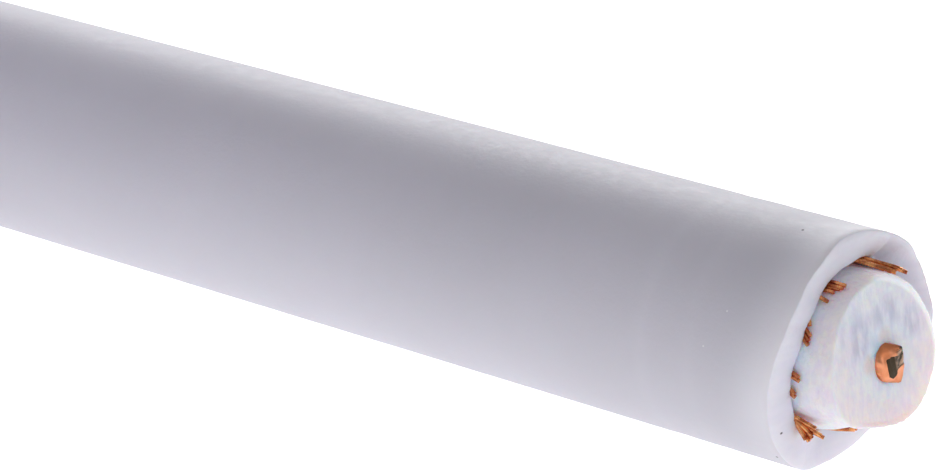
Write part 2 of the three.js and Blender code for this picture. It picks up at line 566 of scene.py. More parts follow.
@dataclass
class CutEnd:
    """Everything that a cut shows: the jacket's rim, the braid, the dielectric and the core.

    The pinch is how far the cutters pushed the core's tip off its axis.
    """

    sizes: CableSizes
    end: EndFrame
    shape: CutShape
    tufts: Sequence[Tuft]
    name: str
    fine_sides: int = 256
    pinch: Vector = field(default_factory=lambda: Vector((0.0, 0.14 * MM, -0.07 * MM)))

    def ragged(self, clock: float, seed: float) -> float:
        """Small unevenness of a cut edge at a clock angle, from about -1 to 1."""
        angle = math.radians(clock)
        on_ring = Vector((math.cos(angle), math.sin(angle), seed))
        return 0.65 * noise.noise(on_ring * 4) + 0.35 * noise.noise(on_ring * 17)

    def outer_at(self, clock: float) -> float:
        """Reach of the jacket's outer edge at a clock angle."""
        return self.shape.outer_rim.at(clock) + self.shape.roughness * self.ragged(clock, 3.0)

    def inner_at(self, clock: float) -> float:
        """Reach of the jacket's inner edge at a clock angle."""
        return self.shape.inner_rim.at(clock) + self.shape.roughness * self.ragged(clock, 8.0)

    def cut_reach(self, clock: float, share: float) -> float:
        """Reach of the cut face.

        Args:
            clock: Clock angle.
            share: How far across the wall, from 0 at the outer edge to 1 at the inner one.

        Returns:
            The reach there, with the rounded lip and the crease.
        """
        cut = self.shape
        outer, inner = self.outer_at(clock), self.inner_at(clock)
        bulge = cut.lip.at(clock) * (1 - max(0.0, 1 - share / 0.35) ** 2) * (1 - share)
        reach = outer + (inner - outer) * share + bulge
        if cut.crease is not None:
            past = (clock - cut.crease - 6 * share + 180) % 360 - 180
            reach -= 0.09 * MM * blend_between(-1.5, 1.5, past) * (1 - blend_between(30, 75, past))
        dent = noise.noise(self.end.point(0, self.sizes.jacket_radius * (1 - 0.25 * share), clock) * 1400)
        return reach + 0.02 * MM * dent * (1 - share)

    def finish_jacket(self, shape: bmesh.types.BMesh) -> None:
        """Close the jacket at this end: skin up to the rim, the cut face, the bore and its far wall.

        Args:
            shape: The jacket being modelled, open at this end.
        """
        sizes, end, cut = self.sizes, self.end, self.shape
        middle = end.point(0, 0, 0)
        ring = ring_near(shape, middle)
        if len(ring) < self.fine_sides:
            bmesh.ops.subdivide_edges(shape, edges=ring, cuts=self.fine_sides // len(ring) - 1)
            ring = ring_near(shape, middle)
            for vert in {v for e in ring for v in e.verts}:
                vert.co = end.point(end.local(vert.co).x, sizes.jacket_radius, end.clock(vert.co))
        start = end.local(ring[0].verts[0].co).x

        def skin(share: float) -> Callable[[Vector], Vector]:
            """Place for a ring of the skin, a share of the way from the ring to the rim."""

            def place(at: Vector) -> Vector:
                clock = end.clock(at)
                rim = self.cut_reach(clock, 0.0) - 0.01 * MM
                reach = start + (rim - start) * share
                return end.point(reach, sizes.jacket_radius + self.peel(reach, clock), clock)

            return place

        def face(share: float) -> Callable[[Vector], Vector]:
            """Place for a ring of the cut face, a share of the way from the outer to the inner edge."""

            def place(at: Vector) -> Vector:
                clock = end.clock(at)
                radius = sizes.jacket_radius + (cut.mouth.at(clock) - sizes.jacket_radius) * share
                return end.point(self.cut_reach(clock, share), radius, clock)

            return place

        def bore(depth: float) -> Callable[[Vector], Vector]:
            """Place for a ring of the bore, a depth behind the inner edge."""

            def place(at: Vector) -> Vector:
                clock = end.clock(at)
                mouth = cut.mouth.at(clock)
                radius = mouth + (sizes.jacket_bore - mouth) * blend_between(0.15 * MM, 1.2 * MM, depth)
                return end.point(max(self.inner_at(clock) - depth, -cut.depth), radius, clock)

            return place

        steps = max(10, round(-start / (0.25 * MM)))
        for index in range(1, steps + 1):
            ring = next_ring(shape, ring, skin(index / steps))
        for share in (0.02, 0.06, 0.12, 0.18, 0.26, 0.35, 0.48, 0.62, 0.76, 0.88, 0.96):
            ring = next_ring(shape, ring, face(share), 1)
        for depth in (0.04, 0.15, 0.4, 0.7, 1.0, 1.4, 2.2):
            ring = next_ring(shape, ring, bore(depth * MM), 1)
        ring = next_ring(shape, ring, bore(cut.depth + 1 * MM), 1)
        bmesh.ops.edgeloop_fill(shape, edges=ring, mat_nr=1)

    def mark_jacket(self, shape: bmesh.types.BMesh) -> None:
        """Write on the vertices how much paler the skin is towards the cut, partly stress whitening and partly painted
        light, and how much painted shade darkens the cut face.

        Args:
            shape: The finished jacket.
        """
        sizes, end, cut = self.sizes, self.end, self.shape
        pale_and_lit = shape.verts.layers.float.get("pale_and_lit") or shape.verts.layers.float.new("pale_and_lit")
        dull_and_shade = shape.verts.layers.float.get("dull_and_shade") or shape.verts.layers.float.new("dull_and_shade")
        for vert in shape.verts:
            own = end.local(vert.co)
            radius = math.hypot(own.y, own.z)
            if own.x < -9 * MM or own.x > 1 * MM or radius > sizes.jacket_radius + 0.2 * MM:
                continue
            clock = end.clock(vert.co)
            behind = self.cut_reach(clock, 0.0) - own.x
            # Paler towards the cut, partly stress whitening and partly painted light, with two faint paler bands over
            # the stripper's grips.
            bands = 0.1 * math.exp(-(((own.x + 4.75 * MM) / (0.22 * MM)) ** 2))
            bands += 0.06 * math.exp(-(((own.x + 3.05 * MM) / (0.2 * MM)) ** 2))
            # The paler tone is weaker underneath.
            below = blend_between(0.1, 0.9, -math.cos(math.radians(clock)))
            whitened_and_lit = (1 - blend_between(-0.2 * MM, 2.1 * MM, behind)) ** 1.3
            vert[pale_and_lit] = (whitened_and_lit + bands) * (1 - 0.75 * below)
            # Painted shade on the cut face: darker towards its inner edge, and half as dark before the crease as past
            # it.
            share = (sizes.jacket_radius - radius) / (sizes.jacket_radius - cut.mouth.at(clock))
            step = 1.0
            if cut.crease is not None:
                past = (clock - cut.crease - 6 * share + 180) % 360 - 180
                step = 0.5 + 0.5 * blend_between(-2, 2, past)
            vert[dull_and_shade] = step * cut.shade.at(clock) * min(max(share, 0.0), 1.0) ** 0.7

    def peel(self, reach: float, clock: float) -> float:
        """How far the skin stands off true: faint grips of the stripper and an orange peel."""
        grips = ((-4.75 * MM, 0.35 * MM, 0.012), (-3.05 * MM, 0.3 * MM, 0.008))
        grip = sum(depth * math.exp(-(((reach - at) / width) ** 2)) for at, width, depth in grips)
        at = self.end.point(reach, self.sizes.jacket_radius, clock)
        return (0.004 * noise.noise(at * 1500) + 0.003 * noise.noise(at * 4200) - grip) * MM

    def section(self, clock: float, reach: float) -> float:
        """Radius of the dielectric at a clock angle: round inside the cable, squeezed towards its face."""
        swell = self.shape.swell.at(clock) * blend_between(-3 * MM, -0.5 * MM, reach)
        nip = self.shape.nip.at(clock) * blend_between(-0.6 * MM, 1.25 * MM, reach)
        lump = noise.noise(self.end.point(reach * 0.6, 2 * MM, clock) * 900)
        frayed = 0.4 + 0.6 * blend_between(0.2, 0.9, math.sin(math.radians(clock - 60)))
        frayed *= blend_between(0.0, 1.0 * MM, reach) * self.ragged(clock * 3.1, 5.0)
        return self.sizes.dielectric_radius * (1 + swell - nip) + (0.012 * lump + 0.05 * frayed) * MM

    def face_reach(self, clock: float, radius: float) -> float:
        """Reach of the dielectric's sliced face at a place on it."""
        height = radius * math.cos(math.radians(clock))
        at = self.end.point(0, radius, clock)
        tear = 0.02 * noise.noise(at * 2600) + 0.025 * noise.noise(at * 700)
        return self.shape.face + self.shape.face_tilt * height + tear * MM

    def dielectric(self, finish: bpy.types.Material) -> bpy.types.Object:
        """The dielectric: a soft rod with the core's bore, its face sliced and its underside nipped."""
        sizes, end, cut = self.sizes, self.end, self.shape
        back_reach = -cut.depth + 0.1 * MM
        bore_radius = sizes.core_radius + 0.012 * MM
        shape = bmesh.new()
        circle = bmesh.ops.create_circle(shape, cap_ends=False, segments=192, radius=sizes.dielectric_radius)
        bmesh.ops.rotate(shape, verts=circle["verts"], matrix=Matrix.Rotation(math.pi / 2, 3, "Y"))
        shape.transform(end.matrix @ Matrix.Translation((back_reach, 0, 0)))
        back = list(shape.edges)

        def side(share: float) -> Callable[[Vector], Vector]:
            """Place for a ring of the rod's side, a share of the way from its back to the soft edge."""

            def place(at: Vector) -> Vector:
                clock = end.clock(at)
                last = self.face_reach(clock, sizes.dielectric_radius) - cut.soft_edge.at(clock)
                reach = back_reach + (last - back_reach) * share
                return end.point(reach, self.section(clock, reach), clock)

            return place

        def edge(turned: float) -> Callable[[Vector], Vector]:
            """Place for a ring of the soft edge, turned from the side at 0 to the face at 90 degrees."""

            def place(at: Vector) -> Vector:
                clock = end.clock(at)
                soft = cut.soft_edge.at(clock)
                angle = math.radians(turned)
                radius = self.section(clock, cut.face) - soft * (1 - math.cos(angle))
                reach = self.face_reach(clock, sizes.dielectric_radius) - soft * (1 - math.sin(angle))
                return end.point(reach, radius, clock)

            return place

        def face(share: float) -> Callable[[Vector], Vector]:
            """Place for a ring of the face, a share of the way from the soft edge to the core."""

            def place(at: Vector) -> Vector:
                clock = end.clock(at)
                outer = self.section(clock, cut.face) - cut.soft_edge.at(clock)
                radius = outer + (bore_radius - outer) * share
                return end.point(self.face_reach(clock, radius), radius, clock)

            return place

        def bore(reach: float) -> Callable[[Vector], Vector]:
            """Place for a ring of the core's bore."""

            def place(at: Vector) -> Vector:
                return end.point(reach, bore_radius, end.clock(at))

            return place

        ring = back
        for share in [0.5, 0.8, 0.9] + [0.9 + 0.1 * k / 16 for k in range(1, 17)]:
            ring = next_ring(shape, ring, side(share))
        for turned in (22.5, 45, 67.5, 90):
            ring = next_ring(shape, ring, edge(turned))
        for index in range(1, 19):
            ring = next_ring(shape, ring, face(index / 18))
        ring = next_ring(shape, ring, bore(cut.face - 0.6 * MM))
        ring = next_ring(shape, ring, bore(back_reach))
        bmesh.ops.bridge_loops(shape, edges=ring + back)
        bmesh.ops.recalc_face_normals(shape, faces=list(shape.faces))
        self.mark_dielectric(shape)
        return placed(f"{self.name}dielectric", mesh_of(shape), (finish,))

    def mark_dielectric(self, shape: bmesh.types.BMesh) -> None:
        """Write the painted highlight, where the light catches the soft edge of the face, on the vertices."""
        end, cut = self.end, self.shape
        pale_and_lit = shape.verts.layers.float.new("pale_and_lit")
        for vert in shape.verts:
            own = end.local(vert.co)
            clock = end.clock(vert.co)
            from_edge = self.section(clock, cut.face) - math.hypot(own.y, own.z)
            soft = cut.soft_edge.at(clock)
            near_face = blend_between(-1.2 * MM, 0.2 * MM, own.x - self.face_reach(clock, self.sizes.dielectric_radius) + 0.2 * MM)
            wide = blend_between(0.07 * MM, 0.16 * MM, soft)
            vert[pale_and_lit] = wide * near_face * (1 - blend_between(0.5 * soft, 1.7 * soft, from_edge))

    def core(self, finish: bpy.types.Material, dark: bpy.types.Material) -> bpy.types.Object:
        """The core: a copper wire, pinched by the cutters to a crooked ridge with a hollow beside it, which is in
        painted shade.

        Args:
            finish: The copper's material.
            dark: The hollow's material, a copy of the copper in painted shade.

        Returns:
            The core.
        """
        sizes, end, cut = self.sizes, self.end, self.shape
        shape = bmesh.new()
        circle = bmesh.ops.create_circle(shape, cap_ends=True, segments=96, radius=sizes.core_radius)
        bmesh.ops.rotate(shape, verts=circle["verts"], matrix=Matrix.Rotation(-math.pi / 2, 3, "Y"))
        shape.transform(end.matrix @ Matrix.Translation((-cut.depth + 0.1 * MM, 0, 0)))
        ring = list(shape.edges)

        def past_ridge(across: float, up: float) -> float:
            """How far a place on the tip lies to the right of the ridge, in millimetres."""
            return across - (-0.345 + 2.3 * (up + 0.02) ** 2)

        def above_foot(across: float, up: float) -> float:
            """How far a place on the tip lies above the hollow's lower edge, in millimetres."""
            return up - (-0.22 + 0.24 * across)

        def shank(reach: float) -> Callable[[Vector], Vector]:
            """Place for a ring of the round part of the wire."""

            def place(at: Vector) -> Vector:
                return end.point(reach, sizes.core_radius, end.clock(at))

            return place

        def pinched(share: float) -> Callable[[Vector], Vector]:
            """Place for a ring of the pinched end, a share of the way in from its edge."""

            def place(at: Vector) -> Vector:
                angle = math.radians(end.clock(at))
                radius = sizes.core_radius / MM * (1 - share)
                corner = 1 + 0.32 * max(0.0, -math.sin(2 * angle))
                tall = 1.14 if math.cos(angle) > 0 else 1.22
                across, up = 1.0 * corner * radius * math.sin(angle), tall * corner * radius * math.cos(angle)
                past, above = past_ridge(across, up), above_foot(across, up)
                slope = 0.35 * past if past < 0 else -0.12 * past
                slope += 0.2 * min(above, 0.0)
                edge = -0.05 * blend_between(0.12, 0.0, share)
                rough = 0.025 * noise.noise(Vector((across, up, 0.0)) * 5)
                reach = slope + edge + rough + cut.core_reach / MM
                return end.matrix @ (Vector((reach, across, up)) * MM + self.pinch)

            return place

        for reach in (-cut.depth / 2, cut.face - 0.8 * MM, cut.face - 0.35 * MM):
            ring = next_ring(shape, ring, shank(reach))
        for share in [0.0, 0.03, 0.07] + [0.07 + 0.93 * k / 14 for k in range(1, 14)]:
            ring = next_ring(shape, ring, pinched(share))
        bmesh.ops.edgeloop_fill(shape, edges=ring)
        bmesh.ops.recalc_face_normals(shape, faces=list(shape.faces))
        # Painted shade, deepest along the hollow's edges.
        dull_and_shade = shape.verts.layers.float.new("dull_and_shade")
        for vert in shape.verts:
            own = end.local(vert.co) / MM - self.pinch / MM
            inside = min(past_ridge(own.y, own.z), above_foot(own.y, own.z) + 0.03, 0.6 - own.yz.length)
            vert[dull_and_shade] = 1 - blend_between(0.05, 0.17, inside) if own.x > cut.face / MM - 0.1 else 0.0
        # The hollow's faces take the copy of the copper in painted shade.
        for face in shape.faces:
            own = end.local(face.calc_center_median()) / MM - self.pinch / MM
            tip = own.x > cut.face / MM - 0.1 and abs(end.local(end.matrix.translation + face.normal).x) > 0.5
            if tip and past_ridge(own.y, own.z) > 0.02 and above_foot(own.y, own.z) > 0.02:
                face.material_index = 1
        return placed(f"{self.name}core", mesh_of(shape), (finish, dark))

    def braid_lines(self) -> list[list[Vector]]:
        """Centre lines of the wires woven inside the jacket, left and right handed."""
        sizes, end, cut = self.sizes, self.end, self.shape
        mean = (sizes.jacket_bore + sizes.dielectric_radius) / 2
        lay = 26 * MM
        carriers = 8
        wires = 5
        start = -cut.depth + 0.2 * MM
        stop = min(cut.inner_rim.values) - 0.15 * MM
        count = max(8, round((stop - start) / (0.9 * MM)))
        lines = []
        for sense in Sense:
            for carrier in range(carriers):
                for wire in range(wires):
                    offset = (wire - (wires - 1) / 2) * math.degrees(2.05 * sizes.wire_radius / mean)
                    line = []
                    for index in range(count + 1):
                        reach = start + (stop - start) * index / count
                        turned = 360.0 * (reach - stop) / lay * sense.value
                        clock = carrier * 360.0 / carriers + offset + turned
                        weave = 0.045 * MM * sense.value * math.sin(math.radians(turned * carriers))
                        line.append(end.point(reach, mean + weave, clock))
                    lines.append(line)
        return lines

    def braid(self, finish: bpy.types.Material) -> bpy.types.Object:
        """The braid: woven wires in the cable and the tufts that stick out of the cut."""
        sizes = self.sizes
        mean = (sizes.jacket_bore + sizes.dielectric_radius) / 2
        lines = self.braid_lines()
        for index, tuft in enumerate(self.tufts):
            lines.extend(tuft.lines(self.end, mean, sizes.wire_radius, 11 + index))
        mesh = swept_tubes(lines, sizes.wire_radius, 8, True)
        for polygon in mesh.polygons:
            polygon.use_smooth = True
        return placed(f"{self.name}braid", mesh, (finish,))


FREE_END_TUFTS = (
    Tuft(root=(10, -0.34, 2.6), tip=(22, 0.58, 2.47), wires=3, fan=0.5),
    Tuft(root=(21, -0.42, 2.63), tip=(32, 0.74, 2.62), wires=4, fan=0.4),
    Tuft(root=(16, -0.4, 2.53), tip=(27, 0.62, 2.5), wires=3, fan=0.5),
    Tuft(root=(336, -0.14, 2.5), tip=(336.5, 0.46, 2.48), wires=2, uneven=0.04),
    Tuft(root=(331.5, -0.12, 2.46), tip=(332.5, 0.32, 2.44), wires=2, uneven=0.05),
    Tuft(root=(324, -0.16, 2.5), tip=(322, 0.35, 2.5)),
    Tuft(root=(307, -0.02, 2.45), tip=(303, 0.24, 2.45)),
    Tuft(root=(299, -0.11, 2.45), tip=(294, 0.24, 2.45), wires=3, fan=0.3, uneven=0.03),
    Tuft(root=(270.5, -0.28, 2.46), tip=(268, 0.12, 2.47), wires=2, fan=0.3, uneven=0.02),
    Tuft(root=(259, -0.36, 2.46), tip=(255.5, -0.05, 2.47), wires=2, uneven=0.02),
    Tuft(root=(234, -0.4, 2.47), tip=(228.5, 0.1, 2.47), wires=3),
    Tuft(root=(233, -0.42, 2.5), tip=(224.5, 0.34, 2.52), wires=4, fan=0.2),
    Tuft(root=(232, -0.42, 2.52), tip=(224.5, 0.12, 2.64), wires=4, fan=0.3, uneven=0.05),
    Tuft(root=(231, -0.42, 2.52), tip=(223.5, 0.0, 2.77), wires=3, fan=0.5, uneven=0.05),
    Tuft(root=(183, -0.35, 2.27), tip=(179, 0.22, 2.2), wires=2, uneven=0.03),
    Tuft(root=(160, -1.1, 2.4), tip=(165, -0.6, 2.4), wires=3),
    Tuft(root=(125, -0.9, 2.45), tip=(131, -0.45, 2.45), wires=4),
    Tuft(root=(95, -0.7, 2.5), tip=(90, -0.3, 2.5), wires=3),
    Tuft(root=(62, -0.7, 2.52), tip=(66, -0.25, 2.5), wires=4),
)

INNER_END_TUFTS = tuple(
    Tuft(root=(clock, -0.1, 2.48), tip=(clock + lean, reach, 2.48), wires=4, fan=0.6)
    for clock, lean, reach in (
        (10, 5, 0.15), (52, -6, 0.1), (95, 6, 0.2), (140, -5, 0.12),
        (185, 6, 0.18), (232, -6, 0.1), (275, 5, 0.15), (322, -5, 0.2),
    )
)


@dataclass
class Cable:
    """The whole cable: one jacket along the winding, and both of its cut ends."""

    sizes: CableSizes
    coil_sides: int = 24
    lead_sides: int = 64
    winding: Winding = field(init=False)
    free_end: CutEnd = field(init=False)
    inner_end: CutEnd = field(init=False)

    def __post_init__(self) -> None:
        """Lay the route and set the frames of the two ends."""
        self.winding = Winding(self.sizes)
        cut = self.sizes.cut
        depth = cut.x - self.sizes.inner_start + 0.25 * MM
        self.free_end = CutEnd(
            self.sizes, EndFrame.at(cut, Vector((1, 0, 0))), CutShape.free_end(depth), FREE_END_TUFTS, "free_",
        )
        line = self.winding.coil_line()
        outward = line[0] - line[1]
        self.inner_end = CutEnd(
            self.sizes,
            EndFrame.at(line[0] + outward.normalized() * 0.3 * MM, outward),
            CutShape.inner_end(3 * MM), INNER_END_TUFTS, "inner_", fine_sides=96,
        )

    def line(self) -> list[Vector]:
        """The cable's whole centre line, from the inner end to the cut of the free end."""
        return [*self.winding.coil_line(), *self.winding.lead_line(), self.sizes.cut.copy()]

    def jacket(self, finishes: Sequence[bpy.types.Material]) -> bpy.types.Object:
        """Model the jacket.

        Args:
            finishes: The skin's material and the cut face's.

        Returns:
            The jacket, one closed tube wall with plain bores at its ends.
        """
        coil = self.winding.coil_line()
        lead = self.winding.lead_line()
        shape = bmesh.new()
        shape.from_mesh(swept_tubes([coil[1:]], self.sizes.jacket_radius, self.coil_sides, False))
        shape.from_mesh(swept_tubes([lead[1:]], self.sizes.jacket_radius, self.lead_sides, False))
        joint = ring_near(shape, coil[-1], self.coil_sides) + ring_near(shape, lead[1], self.lead_sides)
        bmesh.ops.bridge_loops(shape, edges=joint)
        self.inner_end.finish_jacket(shape)
        self.free_end.finish_jacket(shape)
        self.settle_skin(shape)
        self.inner_end.mark_jacket(shape)
        self.free_end.mark_jacket(shape)
        bmesh.ops.recalc_face_normals(shape, faces=list(shape.faces))
        return placed("cable_jacket", mesh_of(shape), finishes)

    def settle_skin(self, shape: bmesh.types.BMesh) -> None:
        """Give the straight part of the free end the same faint unevenness as its tip."""
        end = self.free_end
        for vert in shape.verts:
            own = end.end.local(vert.co)
            radius = math.hypot(own.y, own.z)
            near_axis = abs(radius - self.sizes.jacket_radius) < 0.001 * MM
            if near_axis and -self.sizes.cut.x * 0.5 < own.x < -8.05 * MM:
                clock = end.end.clock(vert.co)
                share = blend_between(-self.sizes.cut.x * 0.5, -self.sizes.cut.x * 0.35, own.x)
                vert.co = end.end.point(own.x, radius + end.peel(own.x, clock) * share, clock)

    def build(self, finishes: Finishes) -> list[bpy.types.Object]:
        """Args:
            finishes: The scene's materials.

        Returns:
            The pieces.
        """
        jacket = self.jacket((finishes.skin, finishes.cut_face))
        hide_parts("coil", "lead_jacket")
        inside = []
        for end, nodes in ((self.free_end, ("dielectric", "centre_conductor", "braid")), (self.inner_end, ())):
            rod = end.dielectric(finishes.dielectric)
            core = end.core(finishes.core, finishes.shaded_core)
            braid = end.braid(finishes.strand)
            for piece, node in zip((rod, core, braid), nodes):
                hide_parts(node)
            inside += [rod, core, braid]
        for piece in (jacket, *inside):
            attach(piece, BODY)
        line = self.line()
        length = sum((b - a).length for a, b in zip(line, line[1:]))
        log.info("cable: %.3f m of centre line, %d points", length, len(line))
        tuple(line[0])
        return [jacket, *inside]


# The ties


@dataclass
class CableTie:
    """One nylon cable tie round the coil's section, with its head on top and its tail cut off."""

    node: str
    angle: float
    sizes: CableSizes
    strap_width: float = 4.8 * MM
    strap_thickness: float = 1.2 * MM
    corner: float = 3.6 * MM
    gap: float = 0.3 * MM
    head_length: float = 6.4 * MM
    head_width: float = 7.6 * MM
    head_height: float = 4.8 * MM

    def limits(self) -> tuple[float, float, float, float]:
        """Inner and outer radius, bottom and top of the strap's inside."""
        span = self.sizes.coil_radius - self.section_width() - self.gap
        return span, self.sizes.coil_radius + self.gap, self.sizes.coil_bottom - self.gap, self.sizes.coil_top + self.gap

    def section_width(self) -> float:
        """Width of the coil's section, which is as wide as it is high."""
        return self.sizes.coil_top - self.sizes.coil_bottom

    def strap(self, shape: bmesh.types.BMesh) -> None:
        """Model the closed strap in the XZ plane, with eased edges."""
        left, right, bottom, top = self.limits()
        grow = self.strap_thickness
        flat = bmesh.ops.create_grid(shape, x_segments=1, y_segments=1, size=0.5)
        width, height = right - left + 2 * grow, top - bottom + 2 * grow
        bmesh.ops.scale(shape, verts=flat["verts"], vec=Vector((width, height, 1)))
        bmesh.ops.bevel(
            shape, geom=flat["verts"], offset=self.corner, segments=8, profile=0.5, affect="VERTICES", material=-1,
        )
        outline = list(shape.faces)
        bmesh.ops.inset_region(shape, faces=outline, thickness=grow, use_boundary=True, use_even_offset=True)
        middle = max(shape.faces, key=lambda f: len(f.verts))
        bmesh.ops.delete(shape, geom=[middle], context="FACES")
        faces = list(shape.faces)
        made = bmesh.ops.extrude_face_region(shape, geom=faces)["geom"]
        lifted = [g for g in made if isinstance(g, bmesh.types.BMVert)]
        bmesh.ops.translate(shape, verts=lifted, vec=Vector((0, 0, self.strap_width)))
        bmesh.ops.recalc_face_normals(shape, faces=list(shape.faces))
        rims = [e for e in shape.edges if len(e.link_faces) == 2 and e.calc_face_angle(0) > 1.2]
        bmesh.ops.bevel(shape, geom=rims, offset=0.22 * MM, segments=2, profile=0.5, affect="EDGES", material=-1)
        bmesh.ops.translate(shape, verts=list(shape.verts), vec=Vector((0, 0, -self.strap_width / 2)))
        bmesh.ops.rotate(shape, verts=list(shape.verts), matrix=Matrix.Rotation(math.pi / 2, 3, "X"))
        bmesh.ops.translate(
            shape, verts=list(shape.verts), vec=Vector(((left + right) / 2, 0, (bottom + top) / 2))
        )

    def head(self, shape: bmesh.types.BMesh) -> None:
        """Model the head on top of the strap, with its slot, and the stub of the tail in it."""
        left, right, bottom, top = self.limits()
        middle = (left + right) / 2
        box = bmesh.ops.create_cube(shape, size=1)
        verts = box["verts"]
        bmesh.ops.scale(shape, verts=verts, vec=Vector((self.head_length, self.head_width, self.head_height)))
        bmesh.ops.translate(shape, verts=verts, vec=Vector((middle, 0, top + self.head_height / 2)))
        faces = {f for v in verts for f in v.link_faces}
        edges = {e for f in faces for e in f.edges}
        made = bmesh.ops.bevel(
            shape, geom=list(edges), offset=0.6 * MM, segments=3, profile=0.5, affect="EDGES", material=-1,
        )
        lid = max((f for f in made["faces"] + list(shape.faces)), key=lambda f: (round(f.calc_center_median().z, 6), f.calc_area()))
        bmesh.ops.inset_region(shape, faces=[lid], thickness=0.9 * MM)
        bmesh.ops.translate(shape, verts=list(lid.verts), vec=Vector((0, 0, -0.9 * MM)))
        stub = bmesh.ops.create_cube(shape, size=1)["verts"]
        bmesh.ops.scale(shape, verts=stub, vec=Vector((1.1 * MM, self.strap_width - 0.2 * MM, 3.2 * MM)))
        bmesh.ops.translate(shape, verts=stub, vec=Vector((middle + 0.9 * MM, 0, top + self.head_height)))
        for vert in stub:
            if vert.co.z > top + self.head_height:
                vert.co.z -= 0.25 * MM * (1 + vert.co.y / self.strap_width * 2)
        stub_edges = {e for v in stub for e in v.link_edges}
        bmesh.ops.bevel(
            shape, geom=list(stub_edges), offset=0.15 * MM, segments=2, profile=0.5, affect="EDGES", material=-1,
        )

    def build(self, finish: bpy.types.Material) -> bpy.types.Object:
        """Build the tie at its place round the coil.

        Args:
            finish: The nylon's material.

        Returns:
            The tie.
        """
        shape = bmesh.new()
        self.strap(shape)
        self.head(shape)
        bmesh.ops.recalc_face_normals(shape, faces=list(shape.faces))
        shape.transform(Matrix.Rotation(math.radians(self.angle), 4, "Z"))
        mesh = mesh_of(shape)
        mesh.set_sharp_from_angle(angle=math.radians(35))
        tie = placed(f"cable_{self.node}", mesh, (finish,))
        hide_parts(self.node)
        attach(tie, BODY)
        return tie


# Shared effects


@dataclass
class Effects:
    """Shader node groups that more than one finish uses."""

    grain: bpy.types.NodeTree = field(init=False)
    specks: bpy.types.NodeTree = field(init=False)

    def __post_init__(self) -> None:
        """Build the groups once."""
        self.grain = self.build_grain()
        self.specks = self.build_specks()

    @staticmethod
    def sockets(group: bpy.types.NodeTree, inputs: dict[str, float], outputs: Sequence[str]) -> None:
        """Give a group its sockets: numbers in, values out, and a vector for where it is read."""
        group.interface.new_socket("Vector", in_out="INPUT", socket_type="NodeSocketVector")
        for name, value in inputs.items():
            socket = group.interface.new_socket(name, in_out="INPUT", socket_type="NodeSocketFloat")
            socket.default_value = value
        for name in outputs:
            group.interface.new_socket(name, in_out="OUTPUT", socket_type="NodeSocketFloat")

    def build_grain(self) -> bpy.types.NodeTree:
        """A fine uneven grain: coarse waves and fine pits added together."""
        group = bpy.data.node_groups.new("fine_grain", "ShaderNodeTree")
        self.sockets(group, {"Coarse Scale": 900.0, "Fine Scale": 3200.0, "Fine Share": 0.4}, ("Height",))
        nodes, links = group.nodes, group.links
        inp = nodes.new("NodeGroupInput")
        out = nodes.new("NodeGroupOutput")
        coarse = nodes.new("ShaderNodeTexNoise")
        coarse.inputs["Detail"].default_value = 2.0
        fine = nodes.new("ShaderNodeTexNoise")
        fine.inputs["Detail"].default_value = 3.0
        mix = nodes.new("ShaderNodeMix")
        links.new(inp.outputs["Vector"], coarse.inputs["Vector"])
        links.new(inp.outputs["Vector"], fine.inputs["Vector"])
        links.new(inp.outputs["Coarse Scale"], coarse.inputs["Scale"])
        links.new(inp.outputs["Fine Scale"], fine.inputs["Scale"])
        links.new(inp.outputs["Fine Share"], mix.inputs["Factor"])
        links.new(coarse.outputs["Fac"], mix.inputs["A"])
        links.new(fine.outputs["Fac"], mix.inputs["B"])
        links.new(mix.outputs["Result"], out.inputs["Height"])
        return group

    def build_specks(self) -> bpy.types.NodeTree:
        """Rare small specks, a mask that the skin uses for painted glints."""
        group = bpy.data.node_groups.new("rare_specks", "ShaderNodeTree")
        self.sockets(group, {"Scale": 250.0, "Size": 0.06, "Rarity": 0.9}, ("Mask",))
        nodes, links = group.nodes, group.links
        inp = nodes.new("NodeGroupInput")
        out = nodes.new("NodeGroupOutput")
        cells = nodes.new("ShaderNodeTexVoronoi")
        near = nodes.new("ShaderNodeMath")
        near.operation = "LESS_THAN"
        split = nodes.new("ShaderNodeSeparateColor")
        chosen = nodes.new("ShaderNodeMath")
        chosen.operation = "GREATER_THAN"
        both = nodes.new("ShaderNodeMath")
        both.operation = "MULTIPLY"
        links.new(inp.outputs["Vector"], cells.inputs["Vector"])
        links.new(inp.outputs["Scale"], cells.inputs["Scale"])
        links.new(cells.outputs["Distance"], near.inputs[0])
        links.new(inp.outputs["Size"], near.inputs[1])
        links.new(cells.outputs["Color"], split.inputs["Color"])
        links.new(split.outputs["Red"], chosen.inputs[0])
        links.new(inp.outputs["Rarity"], chosen.inputs[1])
        links.new(near.outputs[0], both.inputs[0])
        links.new(chosen.outputs[0], both.inputs[1])
        links.new(both.outputs[0], out.inputs["Mask"])
        return group


